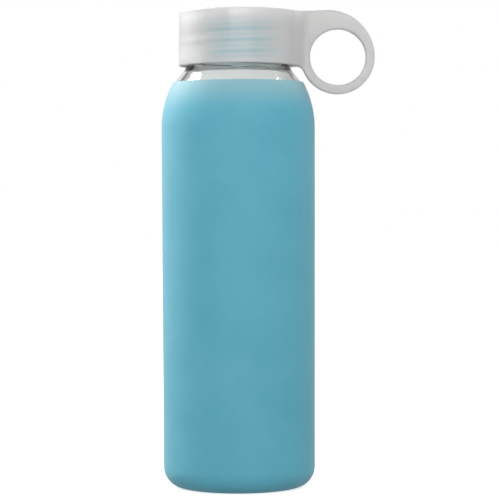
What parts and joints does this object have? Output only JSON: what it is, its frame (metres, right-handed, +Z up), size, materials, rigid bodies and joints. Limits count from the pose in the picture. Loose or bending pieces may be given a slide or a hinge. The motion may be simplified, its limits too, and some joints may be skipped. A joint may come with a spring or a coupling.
{
  "type": "glass water bottle",
  "caption": "Glass water bottle with a rubbery sleeve over its body and a threaded cap that has a flat carry loop at its side.",
  "frame": {"origin": "on the bottle's axis, in the plane it stands on", "axes": "+Z up along the bottle's axis, +X towards the carry loop, +Y completes a right-handed frame; the loop's hole runs along Y"},
  "size_m": [0.0977, 0.0702, 0.2183],
  "materials": {
    "clear_glass": "clear, polished",
    "teal_silicone": "matte, soft",
    "seal_silicone": "matte",
    "frosted_plastic": "frosted, translucent"
  },
  "bodies": {
    "bottle": {"glass_bottle": "clear_glass", "silicone_sleeve": "teal_silicone"},
    "seal": {"seal_ring": "seal_silicone"},
    "cap": {"screw_cap": "frosted_plastic"}
  },
  "joints": [
    {"name": "cap_rise", "type": "slide", "parent": "bottle", "child": "seal", "axis": [0, 0, 1], "range_m": [0, 0.0301]},
    {"name": "cap_turn", "type": "hinge", "parent": "seal", "child": "cap", "pos_m": [0, 0, 0.2139], "axis": [0, 0, 1], "range_deg": [0, 2160]}
  ],
  "couplings": [
    {"joint": "cap_rise", "follows": "cap_turn", "m_per_rad": 0.00079577}
  ]
}
